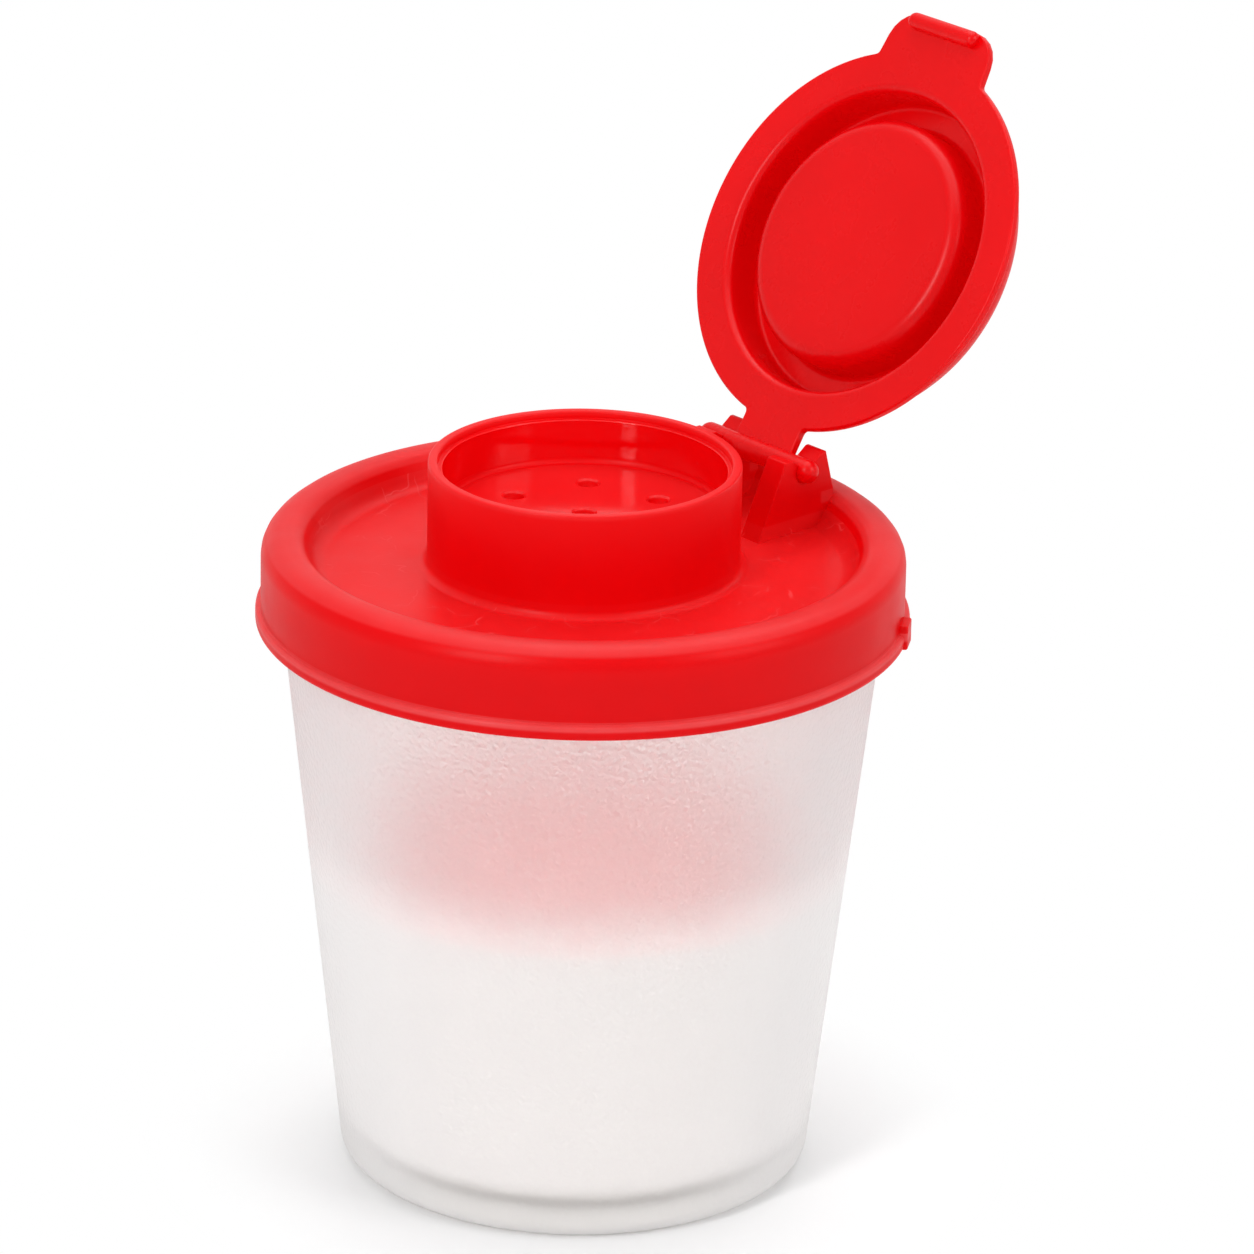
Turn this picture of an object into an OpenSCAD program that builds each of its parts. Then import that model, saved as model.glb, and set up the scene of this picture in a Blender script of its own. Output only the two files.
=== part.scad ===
// Small salt shaker: a tapered cup with salt in it, a push-on lid with a sifter, and a flip cap.
// Millimetres, +Z up. The origin is on the table, under the middle of the cup.
// The hinge is on the +Y side, and the thumb tab of the closed cap points to -Y.

/* [Cup] */
// Outside radius of the cup at its foot
cup_foot_r = 19.85; // [18:0.05:21]
// Height of the cup's rim above the table
cup_h = 54.5; // [44:0.5:70]
// Thickness of the cup's side wall
cup_wall = 1.2; // [0.9:0.1:1.4]
// Height of the cup's floor, inside
floor_z = 3; // [2.6:0.1:4]
// Depth of the recess under the floor
foot_recess = 1.4; // [0.6:0.1:1.6]
// Width of the ring that the cup stands on, with its rounded edges
foot_ring_w = 3; // [2.6:0.1:5]
// Rounding of the foot's outer edge
foot_round = 1.8; // [1:0.1:2]
// Rounding inside, where the floor meets the wall
floor_round = 2; // [1:0.1:4]
// Depth of the salt
salt_depth = 24; // [8:1:34]
// How much higher the salt lies in the middle than at the wall
salt_heap = 0.6; // [0.2:0.1:2]

/* [Lid skirt and rim] */
// Outside radius of the lid's skirt
lid_r = 27; // [26:0.1:33]
// Thickness of the skirt
skirt_wall = 0.9; // [0.8:0.05:1.1]
// Height of the skirt from its lower edge to the crest of the lid
skirt_h = 7.6; // [6.5:0.1:9]
// Height of the bead round the skirt's lower edge
bead_h = 1.25; // [0.9:0.05:1.8]
// How far the bead stands out from the skirt
bead_out = 0.45; // [0.4:0.05:0.7]
// Thickness of the crest over the cup's rim
crest_wall = 1.1; // [0.9:0.05:1.4]
// Rounding of the crest's outer edge
crest_round = 1.9; // [1:0.1:2]
// Rounding of the crest's inner edge
shoulder_round = 1.4; // [0.8:0.1:1.5]
// Distance from the outside of the skirt to where the crest turns down to the panel
shoulder_in = 3.3; // [3.1:0.1:3.6]
// Distance from the outside of the skirt to the edge of the sunken panel
panel_in = 4.6; // [4.3:0.1:5]
// Depth of the panel below the crest
panel_drop = 2.6; // [2.2:0.1:3]
// Rounding where the panel meets the crest and the collar
panel_round = 0.75; // [0.4:0.05:0.9]
// Thickness of the panel
panel_wall = 1; // [0.8:0.1:1.4]
// Thickness of the sealing ring inside the cup's mouth, under the panel
seal_wall = 1; // [0.9:0.1:1.3]
// How far the sealing ring hangs below the panel
seal_h = 1.6; // [1:0.1:2.2]
// Width of the small lift nub on the bead
nub_w = 2.4; // [1.5:0.1:6]
// Height of the nub
nub_h = 2.1; // [1.4:0.1:3]
// How far the nub stands out from the bead
nub_out = 0.25; // [0.1:0.05:0.6]
// Bearing of the nub, anticlockwise from +X
nub_angle = 38; // [0:1:75]

/* [Collar and sifter] */
// Outside radius of the collar
collar_r = 13.12; // [10.9:0.02:13.6]
// Height of the collar above the panel
collar_h = 9.1; // [8:0.1:11]
// Width of the flat on top of the collar
collar_flat = 0.82; // [0.6:0.02:0.9]
// Width of the ledge just inside the collar's top
ledge_w = 0.4; // [0.3:0.05:0.5]
// Depth of that ledge below the collar's top
ledge_drop = 0.65; // [0.5:0.05:1]
// Depth of the sifter's floor below the collar's top
sifter_drop = 4.5; // [4:0.1:5]
// Thickness of the sifter's floor
sifter_wall = 1; // [0.8:0.1:1.4]
// Radius of each sifter hole
hole_r = 0.92; // [0.6:0.02:1.2]
// Number of holes round the middle one
hole_count = 6; // [3:1:10]
// Radius of the ring of holes
hole_ring_r = 7; // [5:0.1:8]
// Bearing of the first hole of the ring, anticlockwise from +X
hole_start = 16; // [0:1:90]
// Width of the bevel round each hole
hole_bevel = 0.16; // [0.1:0.02:0.4]

/* [Hinge] */
// Distance from the outside of the skirt to the axis of the hinge pin
pin_in = 7.2; // [7:0.05:7.4]
// Height of the pin's axis above the panel
pin_rise = 5.3; // [4.4:0.1:6.4]
// Radius of the pin and of its ball ends
pin_r = 1; // [0.85:0.05:1.2]
// Distance from the mirror plane to the inner face of each tower
tower_in = 3.6; // [3:0.05:4.4]
// Thickness of each tower
tower_w = 2.25; // [1.6:0.05:2.6]
// Lean of each tower's front from upright, in degrees
tower_lean = 24.5; // [15:0.5:28]
// Thickness of each tower's lip, in front of the seat
lip_wall = 1.25; // [1:0.05:1.3]
// Height of that lip above the pin's axis
lip_rise = 1.2; // [1.1:0.05:1.3]
// Width of the flat on top of the lip
lip_flat = 0.78; // [0.6:0.02:0.9]
// Distance from the seat back to the post behind it
post_back = 0.92; // [0.8:0.02:1]
// Height of the post above the pin's axis
post_rise = 1.28; // [1.2:0.02:1.4]
// Depth of the flat on top of the post
post_flat = 0.35; // [0.3:0.05:0.5]
// How far behind the pin's axis the two slopes of the seat's mouth meet
mouth_back = 0.3; // [0.1:0.05:0.4]
// Overhang of each ball end's centre past its tower
ball_out = 0.15; // [0.1:0.05:1]
// Angle of the cap from closed to where it stands open
cap_open = 121.6; // [0:0.1:128]

/* [Flip cap] */
// Thickness of the flange, the arm and the thumb tab
flange_wall = 0.75; // [0.6:0.05:0.9]
// Thickness of the side wall outside the groove that takes the collar
groove_wall = 1.5; // [1.2:0.05:1.8]
// Rounding of the dome's outer edge
dome_round = 2.5; // [1:0.1:2.6]
// Thickness of the dome over the groove
dome_wall = 1.1; // [1:0.05:1.6]
// Thickness of the plug's wall and floor
plug_wall = 1.2; // [1:0.1:1.6]
// Rounding of the plug's edge
plug_round = 0.9; // [0.4:0.05:1]
// Half the width of the thumb tab where it leaves the flange
tab_root = 6.2; // [5:0.1:7]
// How much narrower the tab is at its tip, on each side
tab_taper = 0.45; // [0.2:0.05:1]
// Length of the thumb tab beyond the flange
tab_len = 3.15; // [3:0.05:5]
// Rounding of the tab's two corners
tab_round = 2.8; // [1.5:0.1:3]
// Radius of the grip bar across the tab's tip
grip_r = 0.72; // [0.6:0.02:0.9]
// Half the length of the grip bar
grip_half = 4.05; // [3:0.05:4.2]

/* [Fits] */
// Room between the cup's rim and the lid's skirt
rim_gap = 0.21; // [0.15:0.01:0.3]
// Room between the cup's rim and the crest above it
rim_top_gap = 0.2; // [0.1:0.05:0.4]
// Room between the sealing ring and the inside of the cup
seal_gap = 0.3; // [0.2:0.05:0.5]
// Room between the salt and the cup
salt_gap = 0.05; // [0.02:0.01:0.1]
// Room round the hinge pin in its seats
seat_gap = 0.08; // [0.04:0.01:0.1]
// Room between the cap's arm and each tower
arm_gap = 0.2; // [0.15:0.05:0.5]
// Room between the closed cap's flange and the front of each tower
flange_gap = 0.3; // [0.25:0.05:0.6]
// Room between the collar and the outer wall of the cap's groove
groove_gap = 0.33; // [0.25:0.01:0.4]
// Room between the top of the collar and the bottom of the groove
groove_top_gap = 0.2; // [0.15:0.05:0.6]
// Room between the plug and the inside of the collar
plug_gap = 0.8; // [0.7:0.05:1.4]
// Room between the plug and the sifter's floor
plug_floor_gap = 0.7; // [0.2:0.05:1]

/* [Edges] */
// Rounding of the mouldings' main edges
edge_round = 0.4; // [0.3:0.05:0.4]
// Rounding of their small edges
fine_round = 0.2; // [0.1:0.05:0.25]
// Fillet in their inner corners
fillet = 0.5; // [0.3:0.05:0.6]

/* [Hidden] */
$fn = 96;

// Small length by which one shape runs into another
sink = 0.6;

// Cup, with its outside and inside as straight tapers
cup_rim_r = lid_r - skirt_wall - rim_gap;
function cup_out(z) = cup_foot_r + (cup_rim_r - cup_foot_r) * z / cup_h;
function cup_in(z) = cup_out(z) - cup_wall;
salt_z = floor_z + salt_depth;

// Lid heights, from the channel over the rim upwards and downwards
channel_z = cup_h + rim_top_gap;
crest_z = channel_z + crest_wall;
bead_z = crest_z - skirt_h;
panel_z = crest_z - panel_drop;
under_z = panel_z - panel_wall;
seal_z = under_z - seal_h;
skirt_in_r = lid_r - skirt_wall;
bead_r = lid_r + bead_out;
seal_in_r = cup_in(seal_z) - seal_gap - seal_wall;

// Collar and sifter
collar_z = panel_z + collar_h;
ledge_r = collar_r - collar_flat;
bowl_r = ledge_r - ledge_w;
sifter_z = collar_z - sifter_drop;

// Hinge line, the seat in each tower and the front of the towers level with the pin
pin_y = lid_r - pin_in;
pin_z = panel_z + pin_rise;
seat_r = pin_r + seat_gap;
ball_x = tower_in + tower_w + ball_out;
lip_y = seat_r + lip_wall;
tower_front = lip_y + lip_rise * tan(tower_lean);

// Flip cap, measured closed, from the inner face of its flange, which lies level with the pin
flange_r = norm([tower_in, pin_y - tower_front - flange_gap]);
arm_half = tower_in - arm_gap;
plug_r = bowl_r - plug_gap;
plug_z = sifter_z + plug_floor_gap - pin_z;
groove_z = collar_z + groove_top_gap - pin_z;
groove_r = collar_r + groove_gap;
dome_z = groove_z + dome_wall;
dome_r = groove_r + groove_wall;
function flange_edge(x) = sqrt(flange_r * flange_r - x * x);

// Outlines are lists of corners [x, y, rounding], and rounded() turns the corners into arcs
function unit(v) = v / norm(v);
function flat(p) = [p[0], p[1]];
function wrap(angle) = angle - 360 * round(angle / 360);
function heading(v) = atan2(v[1], v[0]);
function arc_steps(r) = r < 0.35 ? 3 : r < 1.6 ? 5 : 8;
function arc(centre, r, from, turn) =
    let (n = arc_steps(r))
    [for (i = [0:n]) centre + r * [cos(from + turn * i / n), sin(from + turn * i / n)]];
function corner(before, at, after, r) =
    let (
        a = unit(before - at),
        b = unit(after - at),
        half = acos(a * b) / 2,
        centre = at + unit(a + b) * r / sin(half),
        start = heading(at + a * r / tan(half) - centre),
        end = heading(at + b * r / tan(half) - centre)
    )
    arc(centre, r, start, wrap(end - start));
function rounded(p) =
    let (n = len(p))
    [for (i = [0:n - 1]) each p[i][2] > 0
        ? corner(flat(p[(i + n - 1) % n]), flat(p[i]), flat(p[(i + 1) % n]), p[i][2])
        : [flat(p[i])]];
function mirrored(p) =
    let (n = len(p))
    concat(p, [for (i = [n - 1:-1:0]) [-p[i][0], p[i][1], p[i][2]]]);

module turned(outline) {
    rotate_extrude() polygon(rounded(outline));
}

module plate(outline, thick) {
    linear_extrude(thick) polygon(rounded(outline));
}

// A bar along X with round ends
module round_bar(half, r) {
    round_end = 0.98 * r;
    rotate([0, 90, 0]) turned([
        [0, -half - r, 0],
        [r, -half - r, round_end],
        [r, half + r, round_end],
        [0, half + r, 0]
    ]);
}

module cup() {
    ring_r = cup_foot_r - foot_ring_w;
    color([0.94, 0.93, 0.91, 0.75]) turned([
        [0, foot_recess, 0],
        [ring_r, foot_recess, fillet],
        [ring_r, 0, fine_round],
        [cup_foot_r, 0, foot_round],
        [cup_rim_r, cup_h, edge_round],
        [cup_rim_r - cup_wall, cup_h, edge_round],
        [cup_in(floor_z), floor_z, floor_round],
        [0, floor_z, 0]
    ]);
}

// Loose salt, level at the wall with a low heap towards the middle
module salt_fill() {
    bottom_z = floor_z + salt_gap;
    heap_r = cup_in(salt_z) / 2;
    color([0.96, 0.95, 0.94]) turned([
        [0, bottom_z, 0],
        [cup_in(bottom_z) - salt_gap, bottom_z, floor_round],
        [cup_in(salt_z) - salt_gap, salt_z, edge_round],
        [heap_r, salt_z + 0.7 * salt_heap, heap_r],
        [0, salt_z + salt_heap, 0]
    ]);
}

// Skirt, crest, panel, sealing ring, collar and sifter floor, as one wall turned round the axis
module lid_shell() {
    turned([
        [skirt_in_r, bead_z, fine_round],
        [bead_r, bead_z, edge_round],
        [bead_r, bead_z + bead_h, edge_round],
        [lid_r, bead_z + bead_h, fine_round],
        [lid_r, crest_z, crest_round],
        [lid_r - shoulder_in, crest_z, shoulder_round],
        [lid_r - panel_in, panel_z, panel_round],
        [collar_r, panel_z, panel_round],
        [collar_r, collar_z, fine_round],
        [ledge_r, collar_z, fine_round],
        [ledge_r, collar_z - ledge_drop, fine_round / 2],
        [bowl_r, collar_z - ledge_drop, fine_round / 2],
        [bowl_r, sifter_z, fillet],
        [0, sifter_z, 0],
        [0, sifter_z - sifter_wall, 0],
        [bowl_r, sifter_z - sifter_wall, fillet],
        [bowl_r, under_z, fillet],
        [seal_in_r, under_z, fillet],
        [seal_in_r, seal_z, fine_round],
        [cup_in(seal_z) - seal_gap, seal_z, edge_round],
        [cup_in(channel_z) - seal_gap, channel_z, fine_round],
        [skirt_in_r, channel_z, fine_round]
    ]);
}

// One sifter hole with a bevelled edge, as the shape that is cut away
module sifter_hole() {
    translate([0, 0, sifter_z - 2 * sifter_wall]) cylinder(h = 3 * sifter_wall, r = hole_r);
    translate([0, 0, sifter_z - hole_bevel]) cylinder(h = 2 * hole_bevel, r1 = hole_r, r2 = hole_r + 2 * hole_bevel);
}

module sifter_holes() {
    sifter_hole();
    for (i = [0:hole_count - 1])
        rotate([0, 0, hole_start + i * 360 / hole_count]) translate([hole_ring_r, 0, 0]) sifter_hole();
}

// Side view of a tower, with the pin at [0, 0]: a sloping front up to a lip, an open seat with a
// mouth narrower than the pin, and a taller post behind it that runs down to the edge of the crest
module tower_side() {
    post_y = seat_r + post_back;
    crest_y = sqrt(pow(lid_r - shoulder_in, 2) - pow(tower_in + tower_w / 2, 2)) - pin_y;
    crest_rise = panel_drop - pin_rise;
    foot_rise = -pin_rise - sink;
    polygon(rounded([
        [-lip_y - (lip_rise - foot_rise) * tan(tower_lean), foot_rise, 0],
        [-lip_y, lip_rise, fillet / 2],
        [lip_flat - lip_y, lip_rise, fine_round],
        [mouth_back, 0, 0],
        [post_y, post_rise, fine_round / 2],
        [post_y + post_flat, post_rise, fine_round / 2],
        [crest_y, crest_rise, 0],
        [crest_y, foot_rise, 0]
    ]));
}

// A tower, its side view pushed out along X and its seat bored through
module tower() {
    translate([tower_in, pin_y, pin_z]) difference() {
        rotate([90, 0, 90]) linear_extrude(tower_w) tower_side();
        translate([-sink, 0, 0]) rotate([0, 90, 0]) cylinder(h = tower_w + 2 * sink, r = seat_r);
    }
}

module lift_nub() {
    nub_r = bead_r + nub_out;
    rotate([0, 0, nub_angle]) translate([0, 0, bead_z]) plate([
        [lid_r - sink / 2, -nub_w / 2, 0],
        [nub_r, -nub_w / 2, fillet / 2],
        [nub_r, nub_w / 2, fillet / 2],
        [lid_r - sink / 2, nub_w / 2, 0]
    ], nub_h);
}

module lid() {
    color([0.93, 0.1, 0.13]) {
        difference() {
            lid_shell();
            sifter_holes();
        }
        tower();
        mirror([1, 0, 0]) tower();
        lift_nub();
    }
}

// Flange, groove, plug and dome of the cap as one wall; the inner face of the flange is at height 0
module cap_shell() {
    well_r = plug_r - plug_wall;
    well_z = plug_z + plug_wall;
    turned([
        [0, plug_z, 0],
        [plug_r, plug_z, plug_round],
        [plug_r, groove_z, fillet],
        [groove_r, groove_z, fillet],
        [groove_r, 0, edge_round],
        [flange_r, 0, fine_round],
        [flange_r, flange_wall, fine_round],
        [dome_r, flange_wall, edge_round],
        [dome_r, dome_z, dome_round],
        [well_r, dome_z, edge_round],
        [well_r - fine_round, well_z, fillet],
        [0, well_z, 0]
    ]);
}

// Arm from the flange to the hinge pin, with a fillet where it leaves the flange
module cap_arm() {
    root_x = 2 * arm_half;
    plate(mirrored([
        [root_x, flange_edge(root_x), 0],
        [arm_half, flange_edge(arm_half), edge_round],
        [arm_half, pin_y, 0]
    ]), flange_wall);
}

// Thumb tab with rounded corners, and the grip bar across the inner face of its tip
module cap_tab() {
    root_x = 1.25 * tab_root;
    tip_y = -flange_r - tab_len;
    plate(mirrored([
        [root_x, -flange_edge(root_x), 0],
        [tab_root, -flange_edge(tab_root), edge_round],
        [tab_root - tab_taper, tip_y, tab_round]
    ]), flange_wall);
    translate([0, tip_y + grip_r, -grip_r / 3]) round_bar(grip_half - grip_r, grip_r);
}

module hinge_pin() {
    translate([0, pin_y, 0]) round_bar(ball_x, pin_r);
}

// The cap is drawn closed over the collar and turned back about its hinge pin
module flip_cap() {
    color([0.94, 0.11, 0.14]) translate([0, pin_y, pin_z]) rotate([-cap_open, 0, 0]) translate([0, -pin_y, 0]) {
        cap_shell();
        cap_arm();
        cap_tab();
        hinge_pin();
    }
}

cup();
salt_fill();
lid();
flip_cap();
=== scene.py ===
import math

import bmesh
import bpy
from mathutils import Matrix, Vector


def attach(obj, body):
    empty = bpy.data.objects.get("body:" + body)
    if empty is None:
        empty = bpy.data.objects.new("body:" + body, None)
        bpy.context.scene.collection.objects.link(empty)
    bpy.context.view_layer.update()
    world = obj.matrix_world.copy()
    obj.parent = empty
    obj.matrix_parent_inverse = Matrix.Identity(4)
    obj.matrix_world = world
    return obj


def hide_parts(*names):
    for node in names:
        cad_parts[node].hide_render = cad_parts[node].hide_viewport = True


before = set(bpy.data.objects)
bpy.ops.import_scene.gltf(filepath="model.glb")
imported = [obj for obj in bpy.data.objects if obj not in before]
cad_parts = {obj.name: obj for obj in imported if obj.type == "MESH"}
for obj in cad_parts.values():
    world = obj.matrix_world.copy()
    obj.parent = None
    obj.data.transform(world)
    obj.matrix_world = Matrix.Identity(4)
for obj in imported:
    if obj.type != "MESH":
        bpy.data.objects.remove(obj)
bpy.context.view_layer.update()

# Small salt shaker with a milky cup, loose salt, a red push-on lid and a red flip cap.
# The numbers of each piece are millimetres. +Z up, hinge towards +Y, origin under the middle of the cup.

mm = 0.001
white = (1.0, 1.0, 1.0, 1.0)
weldWithin = 0.000001   # m
scene = bpy.context.scene
scene.view_settings.view_transform = "Standard"
print("frame loaded:", sorted(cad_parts))


class Wire:
    # one output socket, which the operators turn into Math nodes
    def __init__(self, graph, socket):
        self.graph = graph
        self.socket = socket

    def join(self, operation, other, swapped=False):
        pair = (other, self) if swapped else (self, other)
        return self.graph.add("ShaderNodeMath", {"operation": operation}, {0: pair[0], 1: pair[1]})

    def output(self, key):
        # another output of the same node, by its place or its name
        return Wire(self.graph, self.socket.node.outputs[key])

    def __add__(self, other): return self.join("ADD", other)
    def __radd__(self, other): return self.join("ADD", other, True)
    def __sub__(self, other): return self.join("SUBTRACT", other)
    def __rsub__(self, other): return self.join("SUBTRACT", other, True)
    def __mul__(self, other): return self.join("MULTIPLY", other)
    def __rmul__(self, other): return self.join("MULTIPLY", other, True)
    def __truediv__(self, other): return self.join("DIVIDE", other)
    def __lt__(self, other): return self.join("LESS_THAN", other)
    def __gt__(self, other): return self.join("GREATER_THAN", other)


class Graph:
    # a node tree under construction, for a material, the world or geometry
    def __init__(self, tree):
        self.tree = tree
        tree.nodes.clear()

    def add(self, kind, settings=None, sockets=None, out=0):
        node = self.tree.nodes.new(kind)
        for key, value in (settings or {}).items():
            if key == "stops":
                self.setStops(node.color_ramp, value)
            else:
                setattr(node, key, value)
        for key, value in (sockets or {}).items():
            for one in value if isinstance(value, list) else [value]:
                if isinstance(one, Wire):
                    self.tree.links.new(one.socket, node.inputs[key])
                else:
                    node.inputs[key].default_value = one
        return Wire(self, node.outputs[out]) if node.outputs else None

    def setStops(self, ramp, stops):
        while len(ramp.elements) < len(stops):
            ramp.elements.new(1.0)
        for element, (place, level) in zip(ramp.elements, stops):
            element.position = place
            element.color = (level, level, level, 1.0)

    def smoothStep(self, value, low, high):
        settings = {"interpolation_type": "SMOOTHSTEP"}
        return self.add("ShaderNodeMapRange", settings, {0: value, 1: low, 2: high, 3: 0.0, 4: 1.0})

    def blend(self, factor, first, second):
        settings = {"data_type": "RGBA", "clamp_factor": True}
        return self.add("ShaderNodeMix", settings, {0: factor, 6: first, 7: second}, out=2)

    def noise(self, place, scale, detail=2.0, roughness=0.5, distortion=0.0):
        return self.add("ShaderNodeTexNoise", {}, {
            "Vector": place, "Scale": scale, "Detail": detail, "Roughness": roughness, "Distortion": distortion})

    def ramp(self, factor, stops):
        return self.add("ShaderNodeValToRGB", {"stops": stops}, {"Fac": factor})

    def bump(self, height, distance, under=None):
        sockets = {"Height": height, "Distance": distance, "Strength": 1.0}
        if under is not None:
            sockets["Normal"] = under
        return self.add("ShaderNodeBump", {}, sockets)

    def scaled(self, place, factors):
        return self.add("ShaderNodeVectorMath", {"operation": "MULTIPLY"}, {0: place, 1: factors})

    def bent(self, place, scale, amount):
        # the place, pushed about by noise
        push = self.add("ShaderNodeTexNoise", {}, {"Vector": place, "Scale": scale, "Detail": 2.0}, out=1)
        push = self.add("ShaderNodeVectorMath", {"operation": "SUBTRACT"}, {0: push, 1: (0.5, 0.5, 0.5)})
        push = self.scaled(push, (amount, amount, amount))
        return self.add("ShaderNodeVectorMath", {"operation": "ADD"}, {0: place, 1: push})

    def fromAxis(self, place):
        # distance from the Z axis
        flat = self.scaled(place, (1.0, 1.0, 0.0))
        return self.add("ShaderNodeVectorMath", {"operation": "LENGTH"}, {0: flat}, out=1)

    def objectPlace(self):
        return self.add("ShaderNodeTexCoord", out=3)

    def split(self, vector):
        return self.add("ShaderNodeSeparateXYZ", {}, {"Vector": vector})

    def shaderMix(self, factor, first, second):
        return self.add("ShaderNodeMixShader", {}, {0: factor, 1: first, 2: second})

    def plainGlow(self, kind, level):
        # an even white, from a Background or an Emission node
        return self.add(kind, {}, {"Color": white, "Strength": level})


def linear(red, green, blue):
    # an sRGB colour in 0..255 as Blender's linear colour
    def one(level):
        level = level / 255
        return level / 12.92 if level <= 0.04045 else ((level + 0.055) / 1.055) ** 2.4
    return (one(red), one(green), one(blue), 1.0)


def nodesOf(owner):
    owner.use_nodes = True
    return Graph(owner.node_tree)


cameraSpec = {
    "place": (481.29, -433.36, 300.62),   # mm
    "aim": (2.506, 2.783, 47.55),         # mm
    "roll": 1.13,                         # degrees
    "lens": 237.8,                        # mm
    "sensor": 36.0,                       # mm
    "clip": (0.05, 50.0),                 # m
}


def placeCamera(spec):
    camera = bpy.data.objects.new("camera", bpy.data.cameras.new("camera"))
    scene.collection.objects.link(camera)
    camera.data.sensor_width = spec["sensor"]
    camera.data.lens = spec["lens"]
    camera.data.clip_start, camera.data.clip_end = spec["clip"]
    place = Vector(spec["place"]) * mm
    ahead = (Vector(spec["aim"]) * mm - place).normalized()
    right = ahead.cross(Vector((0, 0, 1))).normalized()
    up = right.cross(ahead)
    roll = math.radians(spec["roll"])
    rolledRight = right * math.cos(roll) + up * math.sin(roll)
    rolledUp = up * math.cos(roll) - right * math.sin(roll)
    turn = Matrix((rolledRight, rolledUp, -ahead)).transposed()
    camera.matrix_world = Matrix.Translation(place) @ turn.to_4x4()
    scene.camera = camera


placeCamera(cameraSpec)
print("camera placed")


studioSpec = {
    "floorRadius": 6.0,          # m
    "floorTone": (0.875, 0.875, 0.88, 1.0),
    "ambient": 0.32,             # level of the world's plain light
    "ambientTone": (0.98, 0.985, 1.0, 1.0),
    # the white floor's colour under the lamps and its own glow, as the camera sees it and as it shows through the cup
    "floorSeen": (0.8, 0.13),
    "floorThrough": (0.34, 0.74),
    # distances in m between which the floor turns into plain white
    "floorFade": (0.021, 0.037),
    "lampsAim": 0.045,           # m above the floor
    "lamps": {
        "keyStrip": {"bearing": -78, "lift": 32, "reach": 1.2, "size": (0.22, 0.7), "power": 6.1},
        "overhead": {"bearing": 138, "lift": 80, "reach": 1.3, "size": (1.3, 1.3), "power": 10.0},
        "softBack": {"bearing": 125, "lift": 58, "reach": 1.3, "size": (0.9, 0.9), "power": 3.0},
        "fillRight": {"bearing": 20, "lift": 30, "reach": 1.4, "size": (0.7, 0.7), "power": 6.0},
    },
}


rayKinds = ("Is Camera Ray", "Is Shadow Ray", "Is Diffuse Ray", "Is Glossy Ray", "Is Singular Ray", "Is Reflection Ray",
            "Is Transmission Ray")


def rayIs(finish, kind):
    return finish.add("ShaderNodeLightPath", out=rayKinds.index(kind))


def showsBackground(finish):
    # 1 for rays that should see the white background, 0 for the rays that light the object
    total = rayIs(finish, "Is Camera Ray") + rayIs(finish, "Is Glossy Ray") + rayIs(finish, "Is Transmission Ray")
    return finish.add("ShaderNodeMath", {"operation": "MINIMUM"}, {0: total, 1: 1.0})


def makeWorld(spec):
    world = bpy.data.worlds.new("studioWorld")
    scene.world = world
    finish = nodesOf(world)
    plain = finish.add("ShaderNodeBackground", {}, {"Color": spec["ambientTone"], "Strength": spec["ambient"]})
    bright = finish.plainGlow("ShaderNodeBackground", 1.0)
    mixed = finish.shaderMix(showsBackground(finish), plain, bright)
    finish.add("ShaderNodeOutputWorld", {}, {"Surface": mixed})


def makeFloor(spec):
    mesh = bpy.data.meshes.new("floor")
    bm = bmesh.new()
    bmesh.ops.create_circle(bm, cap_ends=True, segments=128, radius=spec["floorRadius"])
    bm.to_mesh(mesh)
    bm.free()
    floor = bpy.data.objects.new("floor", mesh)
    scene.collection.objects.link(floor)
    material = bpy.data.materials.new("paleFloor")
    finish = nodesOf(material)
    place = finish.objectPlace()
    plain = finish.add("ShaderNodeBsdfDiffuse", {}, {"Color": spec["floorTone"]})
    whites = []
    for lit, own in (spec["floorThrough"], spec["floorSeen"]):
        surface = finish.add("ShaderNodeBsdfDiffuse", {}, {"Color": (lit, lit, lit, 1.0)})
        glow = finish.plainGlow("ShaderNodeEmission", own)
        whites.append(finish.add("ShaderNodeAddShader", {}, {0: surface, 1: glow}))
    near = finish.shaderMix(rayIs(finish, "Is Camera Ray"), *whites)
    away = finish.smoothStep(finish.fromAxis(place), *spec["floorFade"])
    pale = finish.shaderMix(away, near, finish.plainGlow("ShaderNodeEmission", 1.0))
    mixed = finish.shaderMix(showsBackground(finish), plain, pale)
    finish.add("ShaderNodeOutputMaterial", {}, {"Surface": mixed})
    mesh.materials.append(material)


def makeLamps(spec):
    for name, lamp in spec["lamps"].items():
        data = bpy.data.lights.new(name, "AREA")
        data.shape = "RECTANGLE"
        data.size, data.size_y = lamp["size"]
        data.energy = lamp["power"]
        light = bpy.data.objects.new(name, data)
        scene.collection.objects.link(light)
        bearing, lift = math.radians(lamp["bearing"]), math.radians(lamp["lift"])
        away = Vector((math.cos(bearing) * math.cos(lift), math.sin(bearing) * math.cos(lift), math.sin(lift)))
        light.location = away * lamp["reach"] + Vector((0, 0, spec["lampsAim"]))
        light.rotation_euler = away.to_track_quat("Z", "Y").to_euler()


makeWorld(studioSpec)
makeFloor(studioSpec)
makeLamps(studioSpec)
print("studio lit")


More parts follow.
